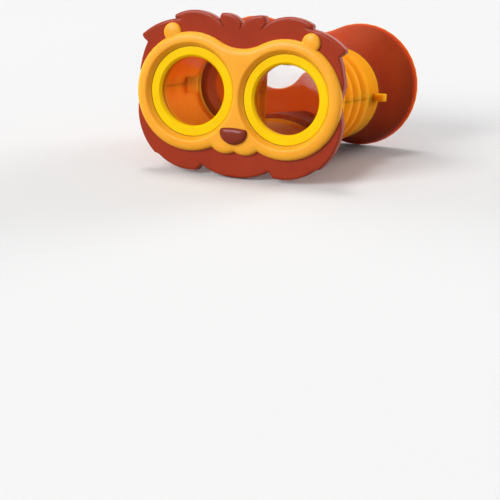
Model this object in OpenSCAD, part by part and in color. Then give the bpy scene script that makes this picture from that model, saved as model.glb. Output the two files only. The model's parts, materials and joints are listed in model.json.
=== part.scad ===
// Toy binoculars with a lion face. Two front lenses sit in a moulded face and mane, a hollow
// two-lobe body is closed from two half shells, and a soft flared hood shades the eyes.
// Sizes are in millimetres. Each piece is drawn along its optical axis: X to the right,
// Y from the face back to the eyes, Z up, with the zero point midway between the two axes at
// the back of the mane. stand() then sets the whole toy on its chin and hood.

/* [Lenses] */
// Distance between the two optical axes
eye_spacing = 56; // [54:0.5:58]
// Clear diameter of a front lens inside its bezel ring
front_view_d = 38; // [35:0.5:39]
// Radius of the front curve of a front lens
front_curve = 110; // [80:5:180]
// Radius of the rear curve of a front lens
rear_curve = 200; // [120:5:300]
// Thickness of the flat rim of a front lens
front_rim_t = 2.3; // [1.8:0.1:3]
// Width of the flat rim that a front lens is held by
lens_land = 2.4; // [1.6:0.1:2.6]
// Diameter of the hollow that each eye looks through in the eyepiece plate
eyepiece_view_d = 30; // [24:0.5:34]
// Radius of the curve of that hollow
eyepiece_curve = 60; // [50:5:140]
// Thickness of the eyepiece plate
eyepiece_t = 3.4; // [3:0.1:4]

/* [Bezel rings] */
// Thickness of the bezel flange in front of the lens
bezel_t = 2.8; // [1.8:0.1:3.2]
// Wall of the bezel skirt that slips over the lens neck
bezel_wall = 1.2; // [1:0.1:1.6]
// Width of the bevel round the inside of the bezel
bezel_bevel = 1.2; // [0.6:0.1:1.6]
// Depth of that bevel
bezel_bevel_depth = 1.3; // [0.8:0.1:1.6]
// Radius of the rounded outer edge of the bezel
bezel_round = 0.5; // [0.3:0.1:0.8]
// Wall of the lens neck on the body
neck_wall = 1.9; // [1.5:0.1:2.2]

/* [Face] */
// Radius of the round face lobe about each eye
face_lobe_r = 32.7; // [31.5:0.1:34]
// Height of the brow above the optical axes, midway between the eyes
brow_z = 25.5; // [23.5:0.1:27]
// Thickness of the face plate
face_t = 3.4; // [3:0.1:4.2]
// How far the rounded face edge reaches in
face_edge_in = 3.8; // [2.5:0.1:4.2]
// How far the rounded face edge drops
face_edge_drop = 2.5; // [1.5:0.1:2.8]
// Width of the dish that falls from the face to the bezel
dish_w = 2.6; // [2:0.1:2.8]
// Thickness of the face that is left at the foot of the dish
dish_foot = 0.4; // [0.3:0.1:1]
// Half width of the muzzle between its two cusps
muzzle_half_w = 13.5; // [11:0.1:15]
// Drop of the notch between the two muzzle bumps below the axes
muzzle_notch_z = 30.7; // [29.5:0.1:32]
// Bulge of a muzzle bump
muzzle_bulge = 2.2; // [1.4:0.1:2.8]
// Ear radius
ear_r = 5.2; // [4.5:0.1:6.5]
// Direction of the ear from its eye, from the sideways axis
ear_angle = 67.6; // [60:0.2:72]
// Reach of the ear centre beyond the face edge
ear_reach = 1.4; // [0.5:0.1:2]
// Thickness of the ear
ear_t = 2.3; // [1.6:0.1:2.8]
// Radius of the rounded edge of the ear
ear_round = 1.4; // [0.6:0.1:1.8]
// Height of the dome of the ear
ear_dome = 0.5; // [0.3:0.1:0.8]

/* [Nose] */
// Half width of the nose
nose_half_w = 8; // [6.5:0.1:9]
// Top of the nose below the optical axes
nose_top_z = 17.4; // [16.5:0.1:19]
// Height of the nose
nose_h = 9.2; // [8:0.1:9.8]
// Width of the rounded upper corner of the nose
nose_corner_w = 2; // [1.4:0.1:2.6]
// Height from the top of the nose down to its widest point
nose_wide_at = 2.6; // [2:0.1:3.2]
// Half width of the blunt lower end of the nose
nose_tip_half_w = 4; // [3:0.1:5]
// Height of the corners of that end above the bottom of the nose
nose_tip_rise = 1.1; // [0.8:0.1:1.6]
// How far the nose stands in front of the face
nose_proud = 2.6; // [1.8:0.1:3.2]
// Height of the straight side of the nose
nose_side = 0.8; // [0.5:0.1:1.2]
// Diameter of the peg behind the nose
nose_peg_d = 4.4; // [3.4:0.1:5]
// Mane that is left behind the hole for the nose peg
nose_peg_floor = 1.2; // [0.8:0.1:2]

/* [Mane] */
// Thickness of the mane plate
mane_t = 5; // [4.2:0.1:6]
// Radius of the rounded front edge of the mane
mane_edge = 0.9; // [0.5:0.1:0.95]
// Height of the notch in the middle of the mane above the axes
mane_notch_z = 38.7; // [38:0.1:42]
// Drop of the chin below the axes
chin_z = 45; // [44:0.1:48]
// Length that a tuft's edge runs on across the mane as a groove
stroke_len = 5; // [3:0.1:7]
// Width of that groove where it starts, from which it tapers to a point
stroke_w = 1.3; // [0.8:0.1:2]
// Depth of that groove
stroke_depth = 0.7; // [0.4:0.1:1]
// Diameter of the pegs that join face and mane
peg_d = 3; // [2.4:0.1:3.4]
// Direction of the pegs from their eye, above and below the sideways axis
peg_angle = 50; // [40:1:55]

/* [Body] */
// Radius of a body lobe in the grooves between the grip rolls
body_r = 26.3; // [26:0.1:28]
// Length of the body from the mane to the hood
body_len = 70; // [66:0.5:80]
// Wall of the body
body_wall = 2.2; // [1.8:0.1:2.6]
// Wall at the front end, which the lenses seat on
front_wall = 2; // [1.6:0.1:2.6]
// How far the waist between the lobes sinks below the lobes
waist_drop = 6; // [5:0.1:8]
// Height of a grip roll
roll_h = 1.4; // [0.5:0.1:1.8]
// Length of a grip roll along the body
roll_len = 12.5; // [11:0.1:13]
// Largest number of grip rolls
rolls = 4; // [3:1:4]
// Length of plain body behind the grip rolls
plain_len = 17; // [14:0.5:19]
// Radius of the rounded rear edge of the body
rear_round = 1; // [0.6:0.1:1.4]
// How far the front wall's hole stands back from the clear view of a lens
sight_step = 0.4; // [0.2:0.1:1]
// Length of the side tongues of the lower shell
tongue_len = 14; // [8:0.5:16]
// Height of a side tongue above the seam
tongue_h = 4; // [2:0.1:5]
// Depth of the root of a side tongue below the seam
tongue_root = 5; // [3:0.1:6]
// Thickness of a side tongue
tongue_t = 1.4; // [1:0.1:1.8]
// Gap between a side tongue and the stop rib
tongue_gap = 2; // [1:0.1:4]
// Gap at the seam between the half shells
seam = 0.1; // [0.05:0.05:0.2]

/* [Rear collar] */
// Length of the thick collar at the rear of the body
collar_len = 10.4; // [10:0.1:12]
// How far the collar and the stop rib stand in from the wall
collar_in = 1.6; // [1.4:0.1:2]
// Thickness of the stop rib in front of the eyepiece plate
rib_t = 1.8; // [1.4:0.1:2.4]

/* [Hood] */
// Length of the hood behind the body
hood_len = 27; // [22:0.5:32]
// Distance between the centres of the two lobes of the hood rim
hood_spacing = 66; // [60:0.5:70]
// Radius of a lobe of the hood rim
hood_rim_r = 35.5; // [33.5:0.1:37]
// How far the hood rim is raised above the optical axes
hood_rise = 4; // [2:0.1:5]
// How far the rim sinks at the brow
hood_brow_drop = 8; // [6:0.1:10]
// How far the rim arches up over the nose
hood_nose_drop = 14.5; // [11:0.1:15.5]
// How far the shoulder of the hood sits inside the outline of the body
hood_inset = 0.5; // [0.2:0.1:1]
// How strongly the flare eases in and out, from straight to a full bell
hood_bell = 0.5; // [0:0.1:1]
// Wall of the hood at its rim
hood_wall = 2.4; // [1.8:0.1:3]
// Wall of the hood neck inside the collar
hood_neck_wall = 2.4; // [1.8:0.1:2.8]
// Distance between the centres of the two lobes of the eye opening
eye_open_spacing = 40; // [36:0.5:46]
// Radius of a lobe of the eye opening in the face wall of the hood
eye_open_r = 17.5; // [15:0.1:18.5]
// How far the eye opening is raised above the optical axes
eye_open_rise = 14.5; // [11:0.1:15.5]
// How far the eye opening narrows at the brow
eye_open_brow_drop = 6; // [4:0.1:8]
// How far the eye opening arches up over the nose
eye_open_nose_drop = 11.5; // [8:0.1:12]
// Thickness of the flange that keeps the hood in the body
hood_flange_t = 2.2; // [1.8:0.1:2.8]

/* [Strap lugs] */
// Thickness of a strap lug
lug_t = 4; // [3:0.1:5]
// Width of a strap lug along the body
lug_w = 7.4; // [6.4:0.1:7.6]
// How far a strap lug stands out from the body
lug_out = 5.6; // [5:0.1:8]
// Diameter of the strap hole
lug_hole_d = 3.2; // [2.4:0.1:3.6]
// Distance of the strap hole from the tip of the lug
lug_edge = 2.9; // [2.6:0.1:3.4]
// How far the head of the lug reaches past its stem on each side
lug_barb = 0.8; // [0.5:0.1:0.9]
// Thickness of the head of the lug
lug_head_t = 1.5; // [1.2:0.1:1.7]
// Wall of the collar inside the head of the lug
lug_cover = 0.8; // [0.6:0.1:1]
// Wall of the body behind the head of the lug
lug_rear_wall = 0.8; // [0.6:0.1:1]
// Radius of the corners at the tip of the lug
lug_round = 1.5; // [1:0.1:2]

/* [Screws] */
// Screw shank diameter
screw_d = 2.5; // [2:0.1:2.8]
// Screw head diameter
screw_head_d = 4.8; // [4.2:0.1:5]
// Screw head thickness
screw_head_t = 1.8; // [1.4:0.1:2.2]
// Length of the cross recess in a screw head
cross_len = 2.9; // [2:0.1:3.2]
// Width of the cross recess
cross_w = 0.8; // [0.5:0.1:1]
// Depth of the cross recess
cross_depth = 0.9; // [0.6:0.1:1.2]
// Outer diameter of the screw posts between the two sight lines
boss_d = 6.8; // [6.2:0.1:7.4]
// Gap between the front wall and the first screw post
boss_gap = 4; // [2:0.1:6]
// Distance between the two screw posts
boss_pitch = 16; // [12:0.5:20]
// Depth of the screw seat below the seam
screw_seat = 10; // [8:0.1:12]
// Length of thread above the seam
screw_grip = 8; // [6:0.1:9]
// Distance of a face screw from the middle of the mane
face_screw_x = 4.5; // [4:0.1:5]
// Height of the face screws above the optical axes
face_screw_z = 13.5; // [12:0.1:15]
// Depth of the hole for a face screw in the mane
face_screw_depth = 4; // [3:0.1:4.2]

/* [Clearances] */
// Gap between a piece and the socket that it slips into
fit = 0.1; // [0.05:0.05:0.2]
// Gap between faces that seat on each other
seat = 0.05; // [0.02:0.01:0.1]
// Depth that a screw hole runs on past the tip of its screw
tip_gap = 0.5; // [0.3:0.1:1]

/* [Hidden] */
$fn = 96;
left = -1;
right = 1;
// Overlap of shapes that are joined, and length that a cut runs on past a surface
eps = 0.01;
past = 1;
// Largest turn between two points of a drawn arc, in degrees
arc_step = 7;

mane_colour = "#a63f1f";
face_colour = "#fbae3a";
bezel_colour = "#ffcb0a";
nose_colour = "#7c3018";
body_colour = "#f0901f";
hood_colour = "#8f3520";
lens_colour = "#dfeaf0a0";
screw_colour = "#a8a9ac";

// Lens, neck and bezel radii follow from the clear opening
eye_x = eye_spacing / 2;
view_r = front_view_d / 2;
lens_r = view_r + lens_land;
neck_in = lens_r + fit;
neck_out = neck_in + neck_wall;
neck_len = front_rim_t + 2 * seat;
skirt_in = neck_out + fit;
bezel_r = skirt_in + bezel_wall;
eye_hole_r = bezel_r + fit;
dish_r = eye_hole_r + dish_w;

// Planes along the optical axis, front to back
face_back = -mane_t;
face_front = face_back - face_t;
collar_front = body_len - collar_len;
flange_back = collar_front - seat;
flange_front = flange_back - hood_flange_t;
plate_back = flange_front - seat;
plate_front = plate_back - eyepiece_t;
rib_back = plate_front - seat;
rib_front = rib_back - rib_t;
shoulder_y = body_len + 2 * fit;
hood_end = body_len + hood_len;
roll_end = body_len - plain_len;
roll_count = min(rolls, floor(roll_end / roll_len));
lug_y = body_len - lug_rear_wall - lug_barb - lug_w / 2;
tongue_end = rib_front - tongue_gap;
nose_peg_end = -nose_peg_floor;
boss_front = front_wall + boss_gap + boss_d / 2;
boss_ys = [boss_front, boss_front + boss_pitch];

// Radii of the body and of what sits inside it
cavity_r = body_r - body_wall;
collar_r = cavity_r - collar_in;
hood_neck_r = collar_r - fit;
hood_bore_r = hood_neck_r - hood_neck_wall;
shoulder_r = body_r - hood_inset;
rim_round = hood_wall / 2;
eyepiece_view_r = eyepiece_view_d / 2;
boss_half_h = cavity_r - waist_drop + body_wall / 2;
shell_reach = body_r + roll_h + past;
peg_ring_r = (eye_hole_r + face_lobe_r) / 2;

// The nose is domed in steps, and its flat crown keeps this share of its outline
nose_steps = 6;
nose_cap = sqrt(sin(90 / nose_steps));

// Attitude: the chin and the hood rim touch the ground
rim_y = hood_end - rim_round;
rim_low_z = hood_rise - hood_rim_r + rim_round;
rim_rise = rim_low_z + chin_z;
tilt = atan2(rim_rise, rim_y) - asin(rim_round / norm([rim_rise, rim_y]));
rim_high_z = hood_rise + hood_rim_r - rim_round;
face_wall_y = hood_end - hood_wall;
nose_low_z = -nose_top_z - nose_h / 2 - nose_cap * nose_h / 2;
front_most = (face_front - nose_proud) * cos(tilt) + nose_low_z * sin(tilt);
rear_most = rim_y * cos(tilt) + rim_high_z * sin(tilt) + rim_round;
middle_y = (front_most + rear_most) / 2;

// Points of an arc from a up to, but not including, b that bulges to the left by bulge
function arc(a, b, bulge) =
    let (
        chord = norm(b - a),
        along = (b - a) / chord,
        out = [-along[1], along[0]],
        half_turn = 2 * atan(2 * abs(bulge) / chord),
        steps = max(1, ceil(2 * half_turn / arc_step)),
        radius = bulge == 0 ? 0 : (chord * chord / 4 + bulge * bulge) / (2 * bulge),
        centre = (a + b) / 2 - out * (radius - bulge)
    )
    bulge == 0 ? [a] : [
        for (i = [0 : steps - 1])
            let (turn = half_turn * (2 * i / steps - 1) * sign(bulge))
            centre + radius * (out * cos(turn) + along * sin(turn))
    ];

// Outline through a right half of [x, z, bulge] corners, top to bottom, and its mirror image
function closed_outline(corners) =
    let (
        right_half = [
            for (i = [0 : len(corners) - 2])
                each arc(xz(corners[i]), xz(corners[i + 1]), corners[i][2])
        ],
        last = xz(corners[len(corners) - 1]),
        left_half = [for (i = [len(right_half) - 1 : -1 : 1]) [-right_half[i][0], right_half[i][1]]]
    )
    concat(right_half, [last], left_half);

function xz(corner) = [corner[0], corner[1]];

// Corner given from the right eye as [direction, reach beyond the face edge, bulge]
function from_eye(corner) =
    let (reach = face_lobe_r + corner[1])
    [eye_x + reach * cos(corner[0]), reach * sin(corner[0]), corner[2]];

// Outward direction at each point of a clockwise outline, long enough to mitre the corners
function mitres(outline) =
    let (count = len(outline))
    [
        for (i = [0 : count - 1])
            let (
                before = outline[i] - outline[(i + count - 1) % count],
                after = outline[(i + 1) % count] - outline[i],
                n1 = [-before[1], before[0]] / norm(before),
                n2 = [-after[1], after[0]] / norm(after)
            )
            (n1 + n2) / (1 + n1 * n2)
    ];

function inset(outline, directions, depth) =
    [for (i = [0 : len(outline) - 1]) outline[i] - directions[i] * depth];

function at_y(outline, y) = [for (p = outline) [p[0], y, p[1]]];

// Triangles between successive rings of equal length, closed by caps or back to the first ring
module loft(rings, looped = false) {
    count = len(rings[0]);
    total = len(rings);
    spans = looped ? total : total - 1;
    sides = [
        for (i = [0 : spans - 1], j = [0 : count - 1])
            let (
                a = i * count + j,
                b = i * count + (j + 1) % count,
                c = ((i + 1) % total) * count + j,
                d = ((i + 1) % total) * count + (j + 1) % count
            )
            each [[a, c, b], [b, c, d]]
    ];
    caps = looped ? [] : [
        [for (j = [0 : count - 1]) j],
        [for (j = [count - 1 : -1 : 0]) (total - 1) * count + j]
    ];
    polyhedron([for (ring = rings) each ring], concat(sides, caps));
}

// Plate whose front edge is rounded in by edge_in over a drop of edge_drop
module rounded_plate(outline, back, front, edge_in, edge_drop, steps = 4) {
    directions = mitres(outline);
    loft(concat(
        [
            for (i = [0 : steps])
                let (turn = 90 * i / steps)
                at_y(
                    inset(outline, directions, edge_in * (1 - sin(turn))),
                    front + edge_drop * (1 - cos(turn))
                )
        ],
        [at_y(outline, back)]
    ));
}

// Points of a rounded corner of a profile about a centre, from one direction to another
function rounded(centre, r, from, to, steps = 3) =
    [
        for (i = [0 : steps])
            let (turn = from + (to - from) * i / steps)
            centre + r * [cos(turn), sin(turn)]
    ];

// Outline drawn in towards a centre to a share of its size
function shrunk(outline, centre, share) = [for (p = outline) centre + (p - centre) * share];

// Outline seen from the front, extruded along the optical axis
module slab(y0, y1) translate([0, y1, 0]) rotate([90, 0, 0]) linear_extrude(y1 - y0) children();

// Profile of [radius, y] turned about the optical axis of one eye
module turned(side) translate([side * eye_x, 0, 0]) rotate([-90, 0, 0]) rotate_extrude() children();

// Children as they are on the right side, or their mirror image on the left
module mirrored(side) mirror([side < 0 ? 1 : 0, 0, 0]) children();

module rod(x, z, r, y0, y1) translate([x, y0, z]) rotate([-90, 0, 0]) cylinder(r = r, h = y1 - y0);

module stand()
    translate([0, -middle_y, chin_z * cos(tilt)])
        rotate([-tilt, 0, 0])
            children();

// Waist that joins two lobes of radius r by hollow curves above and below, sunk a little into them
module waist(r) {
    dip = r - waist_drop;
    blend_r = (eye_x * eye_x + dip * dip - r * r) / (2 * waist_drop);
    blend_z = blend_r + dip;
    blend_end = atan2(blend_z, eye_x);
    steps = 8;
    top = [
        for (i = [0 : steps])
            let (
                turn = -blend_end - (180 - 2 * blend_end) * i / steps,
                sunk = (i == 0 || i == steps) ? waist_sunk : 0
            )
            [(blend_r + sunk) * cos(turn), blend_z + (blend_r + sunk) * sin(turn)]
    ];
    bottom = [for (i = [steps : -1 : 0]) [top[i][0], -top[i][1]]];
    polygon(concat([[eye_x, 0]], top, [[-eye_x, 0]], bottom));
}

// Two-lobe outline of a space inside the body or of what fills it
module two_lobes(r) {
    for (side = [left, right]) translate([side * eye_x, 0]) circle(r);
    waist(r);
}

// Mane: corners of the right half as direction from the eye, reach beyond the face and bulge
mane_corners = concat(
    [[0, mane_notch_z, 1.9]],
    [
        for (corner = [
            [109.6, 14, 0.8],
            [110.6, 9.4, 4.1],
            [73.5, 10.4, 0.5],
            [72.4, 8.2, 1.6],
            [42.5, 10.8, 0.4],
            [40.7, 8.6, 0],
            [40.9, 5.6, 0.6],
            [16.7, 1.5, 0],
            [0, -2.2, 0],
            [-16.8, 1.6, 3.1],
            [-59.2, 9, 0],
            [-62.6, 8.4, 2.6],
            [-96.8, 10.7, 0],
            [-101, 7.8, 1.5]
        ]) from_eye(corner)
    ],
    [[0, -chin_z, 0]]
);
// Corners of the mane where the edge of a tuft runs on inwards as a groove
stroke_corners = [4];
stroke_steps = 7;

face_cusp_z = -sqrt(pow(face_lobe_r, 2) - pow(eye_x - muzzle_half_w, 2));
brow_drop = face_lobe_r - brow_z;
brow_blend_r = (eye_x * eye_x + brow_z * brow_z - face_lobe_r * face_lobe_r) / (2 * brow_drop);
brow_share = face_lobe_r / (face_lobe_r + brow_blend_r);
brow_end = brow_share * [-eye_x, brow_blend_r + brow_z] + [eye_x, 0];
// Outermost point of the face lobe, where its arc is split in two
face_side = [eye_x + face_lobe_r, 0];
face_corners = [
    [0, brow_z, -arc_bulge([0, brow_z], brow_end, brow_blend_r)],
    [brow_end[0], brow_end[1], arc_bulge(brow_end, face_side, face_lobe_r)],
    [face_side[0], face_side[1], arc_bulge(face_side, [muzzle_half_w, face_cusp_z], face_lobe_r)],
    [muzzle_half_w, face_cusp_z, muzzle_bulge],
    [0, -muzzle_notch_z, 0]
];

// Bulge of an arc of the given radius over the chord from a to b
function arc_bulge(a, b, radius) = radius - sqrt(radius * radius - pow(norm(b - a) / 2, 2));

ear_centre = [eye_x, 0] + (face_lobe_r + ear_reach) * [cos(ear_angle), sin(ear_angle)];
// Depth that the waist is sunk into the lobes, so that the faces cross cleanly
waist_sunk = 0.06;
// Points along one lobe and along one waist of a section of the hood
lobe_steps = 26;
arch_steps = 9;
peg_points = [
    for (side = [left, right], up = [-1, 1])
        [side * (eye_x + peg_ring_r * cos(peg_angle)), up * peg_ring_r * sin(peg_angle)]
];
nose_peg_z = -nose_top_z - nose_h / 2;

// Groove that carries the edge of a tuft on across the mane, along the arc that starts at a corner
module stroke(corner, next) {
    a = xz(corner);
    b = xz(next);
    bulge = corner[2];
    chord = norm(b - a);
    along = (b - a) / chord;
    radius = (chord * chord / 4 + bulge * bulge) / (2 * bulge);
    centre = (a + b) / 2 - [-along[1], along[0]] * (radius - bulge);
    turn = stroke_len / radius * 180 / PI;
    start = atan2(a[1] - centre[1], a[0] - centre[0]) - turn / stroke_steps;
    points = [
        for (way = [1, -1], i = [0 : stroke_steps])
            let (
                along = way > 0 ? i : stroke_steps - i,
                angle = start + turn * along / stroke_steps,
                half_w = stroke_w / 2 * (1 - along / stroke_steps)
            )
            if (way > 0 || along < stroke_steps)
                centre + (radius + way * half_w) * [cos(angle), sin(angle)]
    ];
    slab(-mane_t - past, -mane_t + stroke_depth) polygon(points);
}

module mane_plate()
    color(mane_colour)
        difference() {
            rounded_plate(closed_outline(mane_corners), 0, -mane_t, mane_edge, mane_edge, 5);
            for (side = [left, right])
                rod(side * eye_x, 0, eye_hole_r, -mane_t - past, past);
            for (p = peg_points)
                rod(p[0], p[1], peg_d / 2 + fit, -mane_t - past, past);
            rod(0, nose_peg_z, nose_peg_d / 2 + fit, -mane_t - past, nose_peg_end + seat);
            for (side = [left, right])
                rod(side * face_screw_x, face_screw_z, screw_d / 2 + seat, -face_screw_depth, past);
            for (side = [left, right], i = stroke_corners)
                mirrored(side) stroke(mane_corners[i], mane_corners[i + 1]);
        }

// Dish that falls from the face to the bezel, as a smooth slope turned about the eye
module dish_profile() {
    steps = 8;
    depth = face_t - dish_foot;
    polygon(concat(
        [[0, face_front - past], [0, past], [eye_hole_r, past]],
        [
            for (i = [0 : steps])
                [
                    eye_hole_r + dish_w * i / steps,
                    face_front + depth * (1 + cos(180 * i / steps)) / 2
                ]
        ],
        [[dish_r, face_front - past]]
    ));
}

module ear(side) {
    ear_front = face_back - ear_t;
    dome_r = ear_r - ear_round;
    steps = 6;
    translate([side * ear_centre[0], 0, ear_centre[1]])
        rotate([-90, 0, 0])
            rotate_extrude()
                polygon(concat(
                    [[0, face_back], [ear_r, face_back]],
                    rounded([ear_r - ear_round, ear_front + ear_round], ear_round, 0, -90),
                    [
                        for (i = [1 : steps])
                            [dome_r * (1 - i / steps), ear_front - ear_dome * sin(90 * i / steps)]
                    ]
                ));
}

module face_plate()
    color(face_colour) {
        difference() {
            union() {
                rounded_plate(
                    closed_outline(face_corners), face_back, face_front, face_edge_in, face_edge_drop
                );
                for (side = [left, right]) ear(side);
            }
            for (side = [left, right]) turned(side) dish_profile();
            rod(0, nose_peg_z, nose_peg_d / 2 + fit, face_front - past, 0);
        }
        for (p = peg_points) rod(p[0], p[1], peg_d / 2, face_back - eps, -2 * fit);
    }

nose_corners = [
    [0, -nose_top_z, 0.12],
    [nose_half_w - nose_corner_w, -nose_top_z - 0.4, 0.75],
    [nose_half_w, -nose_top_z - nose_wide_at, 1],
    [nose_tip_half_w, -nose_top_z - nose_h + nose_tip_rise, 0.3],
    [0, -nose_top_z - nose_h, 0]
];

// Nose: a low pillow on the muzzle with a peg through the face into the mane
module nose() {
    outline = closed_outline(nose_corners);
    dome = nose_proud - nose_side;
    color(nose_colour) {
        loft(concat(
            [
                for (i = [1 : nose_steps])
                    let (turn = 90 * i / nose_steps)
                    at_y(
                        shrunk(outline, [0, nose_peg_z], sqrt(sin(turn))),
                        face_front - nose_side - dome * cos(turn)
                    )
            ],
            [at_y(outline, face_front - seat)]
        ));
        rod(0, nose_peg_z, nose_peg_d / 2, face_front - nose_side, nose_peg_end);
    }
}

// Ring that caps the lens neck, with its flange in front of the lens
module bezel_ring(side) {
    back = -neck_len;
    front = back - bezel_t;
    color(bezel_colour)
        turned(side)
            polygon(concat(
                [[view_r, back], [view_r, front + bezel_bevel_depth], [view_r + bezel_bevel, front]],
                rounded([bezel_r - bezel_round, front + bezel_round], bezel_round, -90, 0),
                [[bezel_r, -fit], [skirt_in, -fit], [skirt_in, back]]
            ));
}

// Curve of a lens of the given radius, from the axis out to r, as [radius, depth] points
function lens_curve(curve, r, plane, way) =
    let (steps = 10)
    [
        for (i = [0 : steps])
            let (x = r * i / steps)
            [x, plane + way * (sqrt(curve * curve - x * x) - sqrt(curve * curve - r * r))]
    ];

function reversed(list) = [for (i = [len(list) - 1 : -1 : 0]) list[i]];

// Double convex moulded lens with a flat rim
module objective_lens(side) {
    rim_front = -neck_len + seat;
    rim_back = rim_front + front_rim_t;
    clear_r = view_r - fit;
    color(lens_colour)
        turned(side)
            polygon(concat(
                lens_curve(front_curve, clear_r, rim_front, -1),
                [[lens_r, rim_front], [lens_r, rim_back]],
                reversed(lens_curve(rear_curve, clear_r, rim_back, 1))
            ));
}

// Hollow of the body, from the front wall through the stop rib and the collar
module body_hollow() {
    slab(front_wall, rib_front) two_lobes(cavity_r);
    slab(rib_front - eps, rib_back + eps) two_lobes(collar_r);
    slab(rib_back, collar_front) two_lobes(cavity_r);
    slab(collar_front - eps, body_len + past) two_lobes(collar_r);
    for (side = [left, right])
        rod(side * eye_x, 0, view_r + sight_step, -past, front_wall + past);
}

// Outside of one lobe of the body: grip rolls, a plain band and a rounded rear edge
module body_lobe(side) {
    steps = 6;
    roll_start = roll_end - roll_count * roll_len;
    turned(side)
        polygon(concat(
            [[0, body_len], [0, 0], [body_r, 0]],
            [
                for (i = [0 : roll_count * steps])
                    [
                        body_r + roll_h * abs(sin(180 * i / steps)),
                        roll_start + roll_len * i / steps
                    ]
            ],
            rounded([body_r - rear_round, body_len - rear_round], rear_round, 0, 90)
        ));
}

// Ring-shaped neck in front of the body that holds one lens
module lens_neck(side)
    turned(side) polygon([[neck_in, eps], [neck_out, eps], [neck_out, -neck_len], [neck_in, -neck_len]]);

module body_outside() {
    for (side = [left, right]) {
        body_lobe(side);
        lens_neck(side);
    }
    slab(0, body_len) waist(body_r);
}

// Outline of a strap lug seen from above, grown by a gap where it is the pocket of the lug
module lug_outline(side, grow) {
    head_x = collar_r + lug_cover;
    tip = body_r + lug_out;
    head_w = lug_w + 2 * lug_barb;
    mirrored(side)
        translate([eye_x, lug_y]) {
            translate([head_x - grow, -head_w / 2 - grow])
                square([lug_head_t + 2 * grow, head_w + 2 * grow]);
            translate([head_x, -lug_w / 2 - grow])
                square([tip - lug_round - head_x, lug_w + 2 * grow]);
            translate([head_x, -lug_w / 2 + lug_round])
                square([tip - head_x, lug_w - 2 * lug_round]);
            for (end = [-1, 1])
                translate([tip - lug_round, end * (lug_w / 2 - lug_round)]) circle(lug_round);
        }
}

module strap_lug(side)
    color(body_colour)
        difference() {
            translate([0, 0, -lug_t / 2]) linear_extrude(lug_t) lug_outline(side, 0);
            translate([side * (eye_x + body_r + lug_out - lug_edge), lug_y, 0])
                cylinder(d = lug_hole_d, h = lug_t + 2 * past, center = true);
        }

// Screw hole of a half shell: a blind pilot above the seam, a sunk seat and a clear hole below it
module shell_screw_hole(up) {
    if (up > 0) {
        cylinder(d = screw_d + 2 * seat, h = screw_grip + tip_gap);
    } else {
        translate([0, 0, -shell_reach])
            cylinder(d = screw_head_d + 4 * fit, h = shell_reach - screw_seat);
        translate([0, 0, -screw_seat - past])
            cylinder(d = screw_d + 2 * fit, h = screw_seat + 2 * past);
    }
}

// Sector of a ring inside the wall of the body at its outer side
module wall_patch(side, r_in, r_out, z0, z1)
    intersection() {
        difference() {
            rod(side * eye_x, 0, r_out, tongue_end - tongue_len, tongue_end);
            rod(side * eye_x, 0, r_in, tongue_end - tongue_len - past, tongue_end + past);
        }
        mirrored(side)
            translate([eye_x, 0, z0])
                cube([shell_reach, body_len, z1 - z0]);
    }

// Tongue that rises from the lower shell behind the wall of the upper shell
module side_tongue(side) {
    outer = cavity_r - fit;
    inner = outer - tongue_t;
    wall_patch(side, inner, outer, -tongue_root, tongue_h);
    wall_patch(side, inner, cavity_r + body_wall / 2, -tongue_root, -seam / 2);
}

// One half of the body: up is 1 for the upper shell and -1 for the lower
module half_shell(up) {
    half_w = eye_x + shell_reach;
    color(body_colour)
        difference() {
            union() {
                intersection() {
                    union() {
                        difference() {
                            body_outside();
                            body_hollow();
                        }
                        for (y = boss_ys)
                            translate([0, y, 0]) cylinder(d = boss_d, h = 2 * boss_half_h, center = true);
                    }
                    translate([-half_w, -neck_len - past, up > 0 ? seam / 2 : -shell_reach])
                        cube([2 * half_w, body_len + neck_len + 2 * past, shell_reach - seam / 2]);
                }
                if (up < 0)
                    for (side = [left, right]) side_tongue(side);
            }
            for (y = boss_ys)
                translate([0, y, 0]) shell_screw_hole(up);
            for (side = [left, right]) {
                translate([0, 0, -lug_t / 2 - fit])
                    linear_extrude(lug_t + 2 * fit) lug_outline(side, fit);
                if (up > 0)
                    rod(side * face_screw_x, face_screw_z, screw_d / 2 + fit, -past, front_wall + past);
            }
        }
}

module upper_shell() half_shell(1);

module lower_shell() half_shell(-1);

// Clear plate across the body, flat in front, with a hollow lens behind for each eye
module eyepiece_plate() {
    depth = sqrt(eyepiece_curve * eyepiece_curve - eyepiece_view_r * eyepiece_view_r);
    color(lens_colour)
        difference() {
            slab(plate_front, plate_back) two_lobes(cavity_r - fit);
            for (side = [left, right])
                translate([side * eye_x, plate_back + depth, 0]) sphere(eyepiece_curve);
        }
}

// Ring of points round a two-lobe section with its own waists above and below
function lobe_ring(y, spacing, r, rise, brow_drop, nose_drop) =
    let (
        c = spacing / 2,
        top = r - brow_drop,
        low = r - nose_drop,
        top_r = (c * c + top * top - r * r) / (2 * brow_drop),
        low_r = (c * c + low * low - r * r) / (2 * nose_drop),
        top_z = top_r + top,
        low_z = low_r + low,
        from = atan2(top_z, -c),
        to = -atan2(low_z, -c),
        lobe = [
            for (i = [0 : lobe_steps])
                let (turn = from + (to - from) * i / lobe_steps)
                [c + r * cos(turn), r * sin(turn)]
        ],
        arch = [
            for (i = [1 : arch_steps - 1])
                let (turn = atan2(low_z, c) + (180 - 2 * atan2(low_z, c)) * i / arch_steps)
                [low_r * cos(turn), low_r * sin(turn) - low_z]
        ],
        brow = [
            for (i = [1 : arch_steps - 1])
                let (turn = 180 + atan2(top_z, c) + (180 - 2 * atan2(top_z, c)) * i / arch_steps)
                [top_r * cos(turn), top_r * sin(turn) + top_z]
        ],
        mirrored = [for (p = reversed(lobe)) [-p[0], p[1]]]
    )
    [for (p = concat(lobe, arch, mirrored, brow)) [p[0], y, p[1] + rise]];

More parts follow.
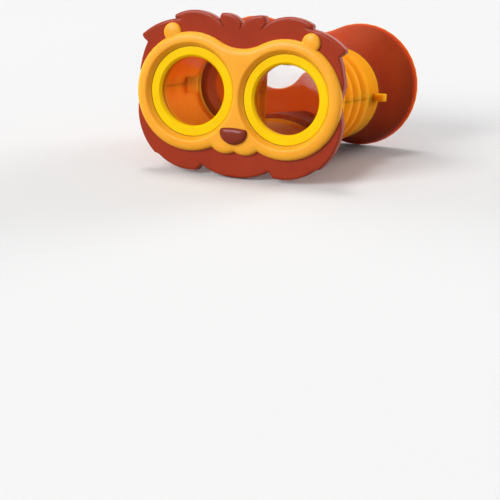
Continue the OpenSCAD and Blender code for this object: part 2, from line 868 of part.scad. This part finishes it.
// Section of the hood a share s of the way from its shoulder to its rim
function hood_ring(s, y, start_r, end_r) =
    let (flare = s + hood_bell * (s * s * (3 - 2 * s) - s))
    lobe_ring(
        y,
        eye_spacing + (hood_spacing - eye_spacing) * flare,
        start_r + (end_r - start_r) * flare,
        hood_rise * flare,
        waist_drop + (hood_brow_drop - waist_drop) * flare,
        waist_drop + (hood_nose_drop - waist_drop) * flare
    );

function neck_ring(y, r) = lobe_ring(y, eye_spacing, r, 0, waist_drop, waist_drop);

// Section of the edge of the eye opening, set out by grow from its narrowest point
function opening_ring(y, grow) =
    lobe_ring(
        y,
        eye_open_spacing,
        eye_open_r + grow,
        eye_open_rise,
        eye_open_brow_drop,
        eye_open_nose_drop
    );

// Soft hood: a flange and neck held in the collar, a flare to a rounded rim, and a face wall
// with a rounded eye opening that fits over the nose
module eye_hood() {
    steps = 9;
    round_steps = 4;
    color(hood_colour)
        loft(concat(
            [neck_ring(flange_front, cavity_r - fit), neck_ring(flange_back, cavity_r - fit)],
            [neck_ring(flange_back, hood_neck_r), neck_ring(shoulder_y, hood_neck_r)],
            [
                for (i = [0 : steps])
                    hood_ring(
                        i / steps,
                        shoulder_y + (rim_y - shoulder_y) * i / steps,
                        shoulder_r,
                        hood_rim_r
                    )
            ],
            [
                for (i = [1 : round_steps])
                    let (turn = 90 * i / round_steps)
                    hood_ring(
                        1,
                        rim_y + rim_round * sin(turn),
                        shoulder_r,
                        hood_rim_r - rim_round * (1 - cos(turn))
                    )
            ],
            [
                for (i = [0 : round_steps])
                    let (turn = 180 * i / round_steps)
                    opening_ring(
                        rim_y + rim_round * cos(turn),
                        rim_round * (1 - sin(turn))
                    )
            ],
            [
                for (i = [steps : -1 : 0])
                    hood_ring(
                        i / steps,
                        shoulder_y + (face_wall_y - shoulder_y) * i / steps,
                        hood_bore_r,
                        hood_rim_r - hood_wall
                    )
            ],
            [neck_ring(flange_front, hood_bore_r)]
        ), looped = true);
}

// Pan head screw along Z: the head below zero, the shank above
module screw(grip)
    difference() {
        union() {
            translate([0, 0, -screw_head_t]) cylinder(d = screw_head_d, h = screw_head_t);
            cylinder(d = screw_d, h = grip);
        }
        for (turn = [0, 90])
            rotate([0, 0, turn])
                translate([-cross_len / 2, -cross_w / 2, -screw_head_t - past])
                    cube([cross_len, cross_w, past + cross_depth]);
    }

module shell_screws()
    color(screw_colour)
        for (y = boss_ys)
            translate([0, y, -screw_seat - seat]) screw(screw_seat + screw_grip);

module face_screws()
    color(screw_colour)
        for (side = [left, right])
            translate([side * face_screw_x, front_wall + seat, face_screw_z])
                rotate([90, 0, 0])
                    screw(front_wall + face_screw_depth - tip_gap);

stand() mane_plate();
stand() face_plate();
stand() nose();
stand() bezel_ring(left);  // left_bezel_ring
stand() bezel_ring(right);  // right_bezel_ring
stand() objective_lens(left);  // left_objective_lens
stand() objective_lens(right);  // right_objective_lens
stand() upper_shell();
stand() lower_shell();
stand() strap_lug(left);  // left_strap_lug
stand() strap_lug(right);  // right_strap_lug
stand() eyepiece_plate();
stand() eye_hood();
stand() shell_screws();
stand() face_screws();
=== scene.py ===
"""Looks of the toy binoculars: smooth shading, moulded plastics, soft hood, clear lenses and studio."""
import json
import math

import bpy
from mathutils import Euler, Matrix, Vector


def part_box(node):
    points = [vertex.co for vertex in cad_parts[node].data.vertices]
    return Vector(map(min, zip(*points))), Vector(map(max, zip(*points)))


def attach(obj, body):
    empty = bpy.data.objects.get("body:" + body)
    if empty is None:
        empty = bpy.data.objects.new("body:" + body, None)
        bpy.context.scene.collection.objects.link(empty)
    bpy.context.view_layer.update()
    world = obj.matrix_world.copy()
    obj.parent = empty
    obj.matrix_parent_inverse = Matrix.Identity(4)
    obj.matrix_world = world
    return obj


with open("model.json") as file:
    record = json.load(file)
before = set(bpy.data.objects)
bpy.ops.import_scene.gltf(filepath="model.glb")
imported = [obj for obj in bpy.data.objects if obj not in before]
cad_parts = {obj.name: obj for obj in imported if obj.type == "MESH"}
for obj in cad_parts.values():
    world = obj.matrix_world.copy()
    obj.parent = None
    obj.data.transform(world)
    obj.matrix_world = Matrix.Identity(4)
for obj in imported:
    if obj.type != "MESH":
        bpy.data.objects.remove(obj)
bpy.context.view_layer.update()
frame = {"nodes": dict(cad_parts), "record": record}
nodes = frame["nodes"]
MM = 0.001

# The toy's own axes: its upright follows the strap holes, and its zero point lies midway between
# the eyes at the back of the mane. Places along its axis are in millimetres from there.
UPRIGHT = Vector(frame["record"]["mounts"][0]["axis"])
LEAN = math.atan2(UPRIGHT.y, UPRIGHT.z)
BACKWARD = Vector((0, math.cos(LEAN), -math.sin(LEAN)))
RING_FRONT = -5.12
MANE_FRONT = -5.0
MANE_BACK = 0.0
FACE_FRONT = -8.4
NOSE_FRONT = -10.94
NOSE_BACK = -8.45
HOOD_WALL_FRONT = 94.6
HOOD_WALL_BACK = 97.0

# Flat faces that are laid anew, and whether each looks forward
FLATS = {
    "mane_plate": [(MANE_FRONT, True), (MANE_BACK, False)],
    "face_plate": [(FACE_FRONT, True), (MANE_FRONT, False)],
    "nose": [(NOSE_FRONT, True), (NOSE_BACK, False)],
    "eye_hood": [(HOOD_WALL_FRONT, True), (HOOD_WALL_BACK, False)],
}
# How far a facet may lie from its flat face in millimetres, and how squarely it faces along the axis
FLAT_REACH = 0.02
FLAT_FACING = 0.999

# Points closer than this many millimetres are one point
JOIN = 0.002
# Edges that turn by more than this many degrees stay sharp
SHARP_EDGE = 32
SHARP_RIDGE_EDGE = 40

# Lines along which the edges of tufts run on across the mane, from the outline inwards
HUMP_LINE = [(14.2, 40.5), (13.4, 39.7), (12.6, 38.9), (11.9, 38.0), (11.3, 37.1), (10.8, 36.2)]
MIDDLE_LINE = [(-1.0, 39.6), (-0.9, 38.9), (-0.95, 38.1), (-1.1, 37.3), (-1.4, 36.5), (-1.9, 35.6)]
# Size of such a ridge in millimetres, how deep it is sunk into the mane, and how far it tapers
RIDGE_WIDTH = 1.1
RIDGE_HEIGHT = 0.55
RIDGE_SUNK = 0.15
RIDGE_TAPER = 0.97
RIDGE_STEPS = 8

# Moulded finishes, with lengths in millimetres. Clouds are faint flow marks in the colour. The grain of
# such a mould is about 0.05 wide and is drawn some ten times coarser, so that it shows. Soak is the
# share of the light that goes into the wall, reach is how far its red, green and blue travel there, and
# edge is the width over which an edge takes the light as a rounded one does.
FINISHES = {
    # Satin ABS from a polished mould: deep brown, with thin light lines along its rounded edges
    "satin_abs_mane": dict(
        dark="#992c0b", light="#a3320d", roughness=0.2, gloss=0.2, cloud=14, grain=0.5, depth=0.01,
        soak=0.1, reach=(1.0, 0.6, 0.3), edge=2.0,
    ),
    # Satin ABS in a warm yellow: soft broad highlights, and shades that stay warm
    "satin_abs_face": dict(
        dark="#ffaa26", light="#ffb230", roughness=0.34, gloss=0.2, cloud=14, grain=0.6, depth=0.02,
        soak=0.5, reach=(2.5, 1.8, 0.8), edge=1.0,
    ),
    # Satin ABS in full yellow: an even, bright ring with hardly any highlight
    "satin_abs_bezel": dict(
        dark="#ffc800", light="#ffd200", roughness=0.32, gloss=0.1, cloud=14, grain=0.6, depth=0.02,
        soak=0.3, reach=(1.5, 1.2, 0.4), edge=0.3,
    ),
    # Gloss ABS: a dark button with a small clear highlight
    "gloss_abs_nose": dict(
        dark="#78240a", light="#842a0c", roughness=0.26, gloss=0.22, cloud=8, grain=0.6, depth=0.02,
        soak=0.05, reach=(1.0, 0.6, 0.3), edge=0.8,
    ),
    # Satin ABS in thin walls: light soaks through the body, so that it glows behind the lenses
    "satin_abs_body": dict(
        dark="#fa8610", light="#ff8d14", roughness=0.4, gloss=0.01, cloud=14, grain=0.6, depth=0.02,
        soak=0.85, reach=(12.0, 11.0, 4.0), edge=0.3,
    ),
    # Soft moulded TPR: dull and red brown, with light that soaks far through its wall
    "soft_tpr_hood": dict(
        dark="#98300f", light="#a23912", roughness=0.5, gloss=0.05, cloud=18, grain=0.7, depth=0.04,
        soak=0.95, reach=(18.0, 9.5, 5.0), edge=0.3,
    ),
}
WEARERS = {
    "satin_abs_mane": ["mane_plate"],
    "satin_abs_face": ["face_plate"],
    "satin_abs_bezel": ["left_bezel_ring", "right_bezel_ring"],
    "gloss_abs_nose": ["nose"],
    "satin_abs_body": ["upper_shell", "lower_shell", "left_strap_lug", "right_strap_lug"],
    "soft_tpr_hood": ["eye_hood"],
}
PLASTIC_IOR = 1.53
ACRYLIC_IOR = 1.49

# Camera, from the point midway between the two eye rings, with its angles in degrees
CAMERA_OFFSET = Vector((389.7, -857.0, 204.7)) * MM
CAMERA_YAW = 24.06
CAMERA_PITCH = 17.26
CAMERA_LENS = 127.1
SENSOR_W = 36.0

# Studio: half the floor's side in metres, the light of the surroundings, and the lamps with their place
# in millimetres, spread in degrees, power and whether they glint. The two low lamps only fill: they
# light the thin walls and leave no glints on the mane's edges.
FLOOR_HALF = 6.0
AMBIENT = 0.45
LAMPS = [
    ("key", Vector((-420, -780, 520)), 30, 2.3, True),
    ("top", Vector((-150, 180, 800)), 16, 1.0, True),
    ("rear", Vector((480, 740, 90)), 40, 4.0, False),
    ("left", Vector((-800, 200, 150)), 40, 2.2, False),
]


def linear(code):
    """Linear colour of an sRGB hex value."""
    parts = [int(code[i:i + 2], 16) / 255 for i in (1, 3, 5)]
    return tuple(c / 12.92 if c <= 0.04045 else ((c + 0.055) / 1.055) ** 2.4 for c in parts) + (1.0,)


def add(tree, kind, inputs=None, **settings):
    """Node of a tree with its settings; each input is a value or the socket that it is linked from."""
    made = tree.nodes.new(kind)
    for name, value in settings.items():
        setattr(made, name, value)
    for name, value in (inputs or {}).items():
        if isinstance(value, bpy.types.NodeSocket):
            tree.links.new(value, made.inputs[name])
        else:
            made.inputs[name].default_value = value
    return made


def per_mm(size):
    """Scale of a noise whose features are about this many millimetres wide."""
    return 1 / (size * MM)


def empty_material(name):
    """New material and its node tree, without nodes."""
    material = bpy.data.materials.new(name)
    material.use_nodes = True
    material.node_tree.nodes.clear()
    return material, material.node_tree


def eye_middle():
    """Point midway between the fronts of the two bezel rings."""
    low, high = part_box("left_bezel_ring")
    ring_r = (high.x - low.x) / 2
    return Vector((0, low.y + ring_r * math.sin(LEAN), high.z - ring_r * math.cos(LEAN)))


def on_toy(x, y, z):
    """Point given along the toy's own axes in millimetres."""
    return eye_middle() + (Vector((x, 0, 0)) + BACKWARD * (y - RING_FRONT) + UPRIGHT * z) * MM


def moulded(name, dark, light, roughness, gloss, cloud, grain, depth, soak, reach, edge):
    """Moulded plastic: flow clouds in its colour, grain in its sheen, light in its walls, soft edges."""
    material, tree = empty_material(name)
    place = add(tree, "ShaderNodeTexCoord").outputs["Object"]
    clouds = add(tree, "ShaderNodeTexNoise", {"Vector": place, "Scale": per_mm(cloud), "Detail": 3.0})
    colour = add(tree, "ShaderNodeValToRGB", {"Fac": clouds.outputs["Fac"]})
    for stop, position, code in zip(colour.color_ramp.elements, (0.3, 0.7), (dark, light)):
        stop.position = position
        stop.color = linear(code)
    fine = add(tree, "ShaderNodeTexNoise", {"Vector": place, "Scale": per_mm(grain), "Detail": 2.0})
    sheen = add(tree, "ShaderNodeMapRange", {
        "Value": clouds.outputs["Fac"], "To Min": roughness - 0.05, "To Max": roughness + 0.05,
    })
    softened = add(tree, "ShaderNodeBevel", {"Radius": edge * MM}, samples=8)
    bump = add(tree, "ShaderNodeBump", {
        "Height": fine.outputs["Fac"], "Strength": 0.35, "Distance": depth * MM,
        "Normal": softened.outputs["Normal"],
    })
    shader = add(tree, "ShaderNodeBsdfPrincipled", {
        "Base Color": colour.outputs["Color"],
        "Roughness": sheen.outputs["Result"],
        "Normal": bump.outputs["Normal"],
        "IOR": PLASTIC_IOR,
        "Specular IOR Level": gloss,
        "Subsurface Weight": soak,
        "Subsurface Radius": reach,
        "Subsurface Scale": MM,
    })
    add(tree, "ShaderNodeOutputMaterial", {"Surface": shader.outputs["BSDF"]})
    return material


def lens_acrylic():
    """Polished acrylic: thin and clear, with a faint gloss and hardly any bend in the view through it.

    Its slight haze follows flow marks about 9 mm wide.
    """
    material, tree = empty_material("polished_acrylic")
    place = add(tree, "ShaderNodeTexCoord").outputs["Object"]
    swirl = add(tree, "ShaderNodeTexNoise", {"Vector": place, "Scale": per_mm(9), "Detail": 1.0})
    haze = add(tree, "ShaderNodeMapRange", {
        "Value": swirl.outputs["Fac"], "To Min": 0.02, "To Max": 0.06,
    })
    shader = add(tree, "ShaderNodeBsdfPrincipled", {
        "Base Color": linear("#fbfdfd"),
        "Roughness": haze.outputs["Result"],
        "IOR": ACRYLIC_IOR,
        "Transmission Weight": 1.0,
        "Alpha": 0.06,
    })
    add(tree, "ShaderNodeOutputMaterial", {"Surface": shader.outputs["BSDF"]})
    return material


def screw_steel():
    """Zinc plated steel: a dull metal with uneven sheen.

    Its marks are about 0.05 mm wide and are drawn ten times coarser, so that they show.
    """
    material, tree = empty_material("zinc_plated_steel")
    place = add(tree, "ShaderNodeTexCoord").outputs["Object"]
    marks = add(tree, "ShaderNodeTexNoise", {"Vector": place, "Scale": per_mm(0.5), "Detail": 2.0})
    sheen = add(tree, "ShaderNodeMapRange", {
        "Value": marks.outputs["Fac"], "To Min": 0.3, "To Max": 0.5,
    })
    shader = add(tree, "ShaderNodeBsdfPrincipled", {
        "Base Color": linear("#b4b5b8"),
        "Metallic": 1.0,
        "Roughness": sheen.outputs["Result"],
    })
    add(tree, "ShaderNodeOutputMaterial", {"Surface": shader.outputs["BSDF"]})
    return material


def shape_group(name):
    """New node group that changes a shape, with the node that brings the shape in."""
    tree = bpy.data.node_groups.new(name, "GeometryNodeTree")
    for way in ("INPUT", "OUTPUT"):
        tree.interface.new_socket("Geometry", in_out=way, socket_type="NodeSocketGeometry")
    return tree, add(tree, "NodeGroupInput")


def smooth_shading():
    """Node group that joins split edges and shades faces smooth up to sharp edges."""
    tree, source = shape_group("smooth_shading")
    joined = add(tree, "GeometryNodeMergeByDistance", {
        "Geometry": source.outputs["Geometry"], "Distance": JOIN * MM,
    })
    angle = add(tree, "GeometryNodeInputMeshEdgeAngle")
    sharp = add(tree, "FunctionNodeCompare", {
        "A": angle.outputs["Unsigned Angle"], "B": math.radians(SHARP_EDGE),
    }, operation="GREATER_THAN", data_type="FLOAT")
    normals = add(tree, "GeometryNodeSetMeshNormal", {
        "Mesh": joined.outputs["Geometry"],
        "Remove Custom": True,
        "Edge Sharpness": sharp.outputs["Result"],
        "Face Sharpness": False,
    }, mode="SHARPNESS")
    add(tree, "NodeGroupOutput", {"Geometry": normals.outputs["Mesh"]})
    return tree


def clean_flats(levels, material):
    """Node group that lays a plate's flat faces anew, each as one clean sheet.

    Each level is a place along the toy's axis in millimetres and whether its face looks forward. The
    shape is turned so that this axis is upright, and is scaled to millimetres until the end.
    """
    tree, source = shape_group("clean_flats")
    turn = math.pi / 2 + LEAN
    rest = add(tree, "GeometryNodeTransform", {
        "Geometry": source.outputs["Geometry"], "Rotation": (turn, 0, 0), "Scale": (1 / MM,) * 3,
    }).outputs["Geometry"]
    place = add(tree, "ShaderNodeSeparateXYZ", {
        "Vector": add(tree, "GeometryNodeInputPosition").outputs["Position"],
    })
    normal = add(tree, "ShaderNodeSeparateXYZ", {
        "Vector": add(tree, "GeometryNodeInputNormal").outputs["Normal"],
    })
    facing = add(tree, "ShaderNodeMath", {0: normal.outputs["Z"]}, operation="ABSOLUTE")
    facing = add(tree, "ShaderNodeMath", {
        0: facing.outputs["Value"], 1: FLAT_FACING,
    }, operation="GREATER_THAN")
    beside = add(tree, "GeometryNodeInputMeshEdgeNeighbors")
    border = add(tree, "FunctionNodeCompare", {
        2: beside.outputs["Face Count"], 3: 1,
    }, operation="EQUAL", data_type="INT")
    sheets = []
    for level, forward in levels:
        height = on_toy(0, level, 0).dot(BACKWARD) / MM
        here = add(tree, "ShaderNodeMath", {
            0: place.outputs["Z"], 1: height, 2: FLAT_REACH,
        }, operation="COMPARE")
        flat = add(tree, "ShaderNodeMath", {
            0: here.outputs["Value"], 1: facing.outputs["Value"],
        }, operation="MULTIPLY")
        parted = add(tree, "GeometryNodeSeparateGeometry", {
            "Geometry": rest, "Selection": flat.outputs["Value"],
        }, domain="FACE")
        rest = parted.outputs["Inverted"]
        joined = add(tree, "GeometryNodeMergeByDistance", {
            "Geometry": parted.outputs["Selection"], "Distance": JOIN,
        })
        loops = add(tree, "GeometryNodeMeshToCurve", {
            "Mesh": joined.outputs["Geometry"], "Selection": border.outputs["Result"],
        })
        sheet = add(tree, "GeometryNodeFillCurve", {"Curve": loops.outputs["Curve"]}).outputs["Mesh"]
        if forward:
            sheet = add(tree, "GeometryNodeFlipFaces", {"Mesh": sheet}).outputs["Mesh"]
        sheet = add(tree, "GeometryNodeSetMaterial", {"Geometry": sheet, "Material": material})
        sheets.append(add(tree, "GeometryNodeTransform", {
            "Geometry": sheet.outputs["Geometry"], "Translation": (0, 0, height),
        }).outputs["Geometry"])
    whole = add(tree, "GeometryNodeJoinGeometry")
    for sheet in [rest] + sheets:
        tree.links.new(sheet, whole.inputs["Geometry"])
    scaled = add(tree, "GeometryNodeTransform", {
        "Geometry": whole.outputs["Geometry"], "Scale": (MM,) * 3,
    })
    turned = add(tree, "GeometryNodeTransform", {
        "Geometry": scaled.outputs["Geometry"], "Rotation": (-turn, 0, 0),
    })
    add(tree, "NodeGroupOutput", {"Geometry": turned.outputs["Geometry"]})
    return tree


def dress(names, material, group):
    """Gives CAD nodes their finish, smooth shading and flats that stay flat."""
    for name in names:
        piece = nodes[name]
        piece.data.materials.clear()
        piece.data.materials.append(material)
        if name in FLATS:
            piece.modifiers.new("clean", "NODES").node_group = clean_flats(FLATS[name], material)
        piece.modifiers.new("smooth", "NODES").node_group = group
        piece.modifiers.new("flats", "WEIGHTED_NORMAL").keep_sharp = True


def tuft_ridge(name, path, material):
    """Short tapered ridge that carries the edge of a tuft on across the front of the mane."""
    length = len(path) - 1
    points = []
    for i, here in enumerate(path):
        before, after = Vector(path[max(i - 1, 0)]), Vector(path[min(i + 1, length)])
        side = (after - before).normalized().orthogonal()
        share = math.cos(math.pi / 2 * RIDGE_TAPER * i / length)
        for j in range(RIDGE_STEPS + 1):
            turn = math.pi * j / RIDGE_STEPS
            across = Vector(here) + side * (RIDGE_WIDTH / 2 * share * math.cos(turn))
            rise = (RIDGE_HEIGHT * share + RIDGE_SUNK) * math.sin(turn)
            points.append(on_toy(across.x, MANE_FRONT + RIDGE_SUNK - rise, across.y))
    count = RIDGE_STEPS + 1
    faces = [tuple(range(count)), tuple(length * count + j for j in reversed(range(count)))]
    for i in range(length):
        for j in range(count):
            a, b = i * count + j, i * count + (j + 1) % count
            faces.append((b, a, a + count, b + count))
    mesh = bpy.data.meshes.new(name)
    mesh.from_pydata(points, [], faces)
    mesh.materials.append(material)
    mesh.shade_smooth()
    mesh.set_sharp_from_angle(angle=math.radians(SHARP_RIDGE_EDGE))
    piece = bpy.data.objects.new(name, mesh)
    bpy.context.scene.collection.objects.link(piece)
    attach(piece, "root")


def seen_rays(tree):
    """Socket that is 1 for rays that show the background: direct, in gloss and through clear pieces."""
    path = add(tree, "ShaderNodeLightPath")
    seen = path.outputs["Is Camera Ray"]
    for kind in ("Is Transmission Ray", "Is Glossy Ray"):
        either = add(tree, "ShaderNodeMath", {0: seen, 1: path.outputs[kind]}, operation="MAXIMUM")
        seen = either.outputs["Value"]
    return seen


def floor_paint():
    """Pale matt paint: keeps the shadow of the toy and throws little light back up.

    Its tone varies faintly over rolled patches about 400 mm wide.
    """
    material, tree = empty_material("pale_floor")
    place = add(tree, "ShaderNodeTexCoord").outputs["Object"]
    tone = add(tree, "ShaderNodeTexNoise", {"Vector": place, "Scale": per_mm(400), "Detail": 1.0})
    colour = add(tree, "ShaderNodeValToRGB", {"Fac": tone.outputs["Fac"]})
    for stop, code in zip(colour.color_ramp.elements, ("#d0d0d0", "#d4d4d4")):
        stop.color = linear(code)
    seen = add(tree, "ShaderNodeMixRGB", {
        "Fac": seen_rays(tree), "Color1": linear("#888888"), "Color2": colour.outputs["Color"],
    })
    shader = add(tree, "ShaderNodeBsdfPrincipled", {
        "Base Color": seen.outputs["Color"], "Roughness": 0.8, "Specular IOR Level": 0.1,
    })
    add(tree, "ShaderNodeOutputMaterial", {"Surface": shader.outputs["BSDF"]})
    return material


def studio():
    """Pale floor, white surroundings and soft lamps round the toy."""
    scene = bpy.context.scene
    mesh = bpy.data.meshes.new("floor")
    corners = [(x * FLOOR_HALF, y * FLOOR_HALF, 0) for x, y in ((-1, -1), (1, -1), (1, 1), (-1, 1))]
    mesh.from_pydata(corners, [], [(0, 1, 2, 3)])
    mesh.materials.append(floor_paint())
    floor = bpy.data.objects.new("floor", mesh)
    scene.collection.objects.link(floor)

    world = bpy.data.worlds.new("studio")
    scene.world = world
    world.use_nodes = True
    tree = world.node_tree
    tree.nodes.clear()
    level = add(tree, "ShaderNodeMapRange", {
        "Value": seen_rays(tree), "To Min": AMBIENT, "To Max": 1.0,
    })
    light = add(tree, "ShaderNodeBackground", {
        "Color": linear("#ffffff"), "Strength": level.outputs["Result"],
    })
    add(tree, "ShaderNodeOutputWorld", {"Surface": light.outputs["Background"]})

    for name, offset, spread, power, glints in LAMPS:
        lamp = bpy.data.lights.new(name, "SUN")
        lamp.angle = math.radians(spread)
        lamp.energy = power
        shown = bpy.data.objects.new(name, lamp)
        shown.visible_glossy = glints
        shown.location = offset * MM
        shown.rotation_euler = (-offset).to_track_quat("-Z", "Y").to_euler()
        scene.collection.objects.link(shown)
    scene.view_settings.view_transform = "Standard"


def photo_camera():
    """Camera at the photograph's place, set from the point midway between the eye rings."""
    camera = bpy.data.cameras.new("photo_camera")
    camera.lens = CAMERA_LENS
    camera.sensor_width = SENSOR_W
    shown = bpy.data.objects.new("photo_camera", camera)
    shown.location = eye_middle() + CAMERA_OFFSET
    shown.rotation_euler = Euler((math.radians(90 - CAMERA_PITCH), 0, math.radians(CAMERA_YAW)), "XYZ")
    bpy.context.scene.collection.objects.link(shown)
    bpy.context.scene.camera = shown


def main():
    """Sets the camera, dresses every node, adds the ridges of the mane and builds the studio."""
    photo_camera()
    group = smooth_shading()
    plastics = {name: moulded(name, **finish) for name, finish in FINISHES.items()}
    for name, material in plastics.items():
        dress(WEARERS[name], material, group)
    dress(["left_objective_lens", "right_objective_lens", "eyepiece_plate"], lens_acrylic(), group)
    dress(["shell_screws", "face_screws"], screw_steel(), group)
    mane = plastics["satin_abs_mane"]
    for side, name in ((-1, "left"), (1, "right")):
        tuft_ridge(name + "_tuft_ridge", [(side * x, z) for x, z in HUMP_LINE], mane)
    tuft_ridge("middle_tuft_ridge", MIDDLE_LINE, mane)
    studio()


main()
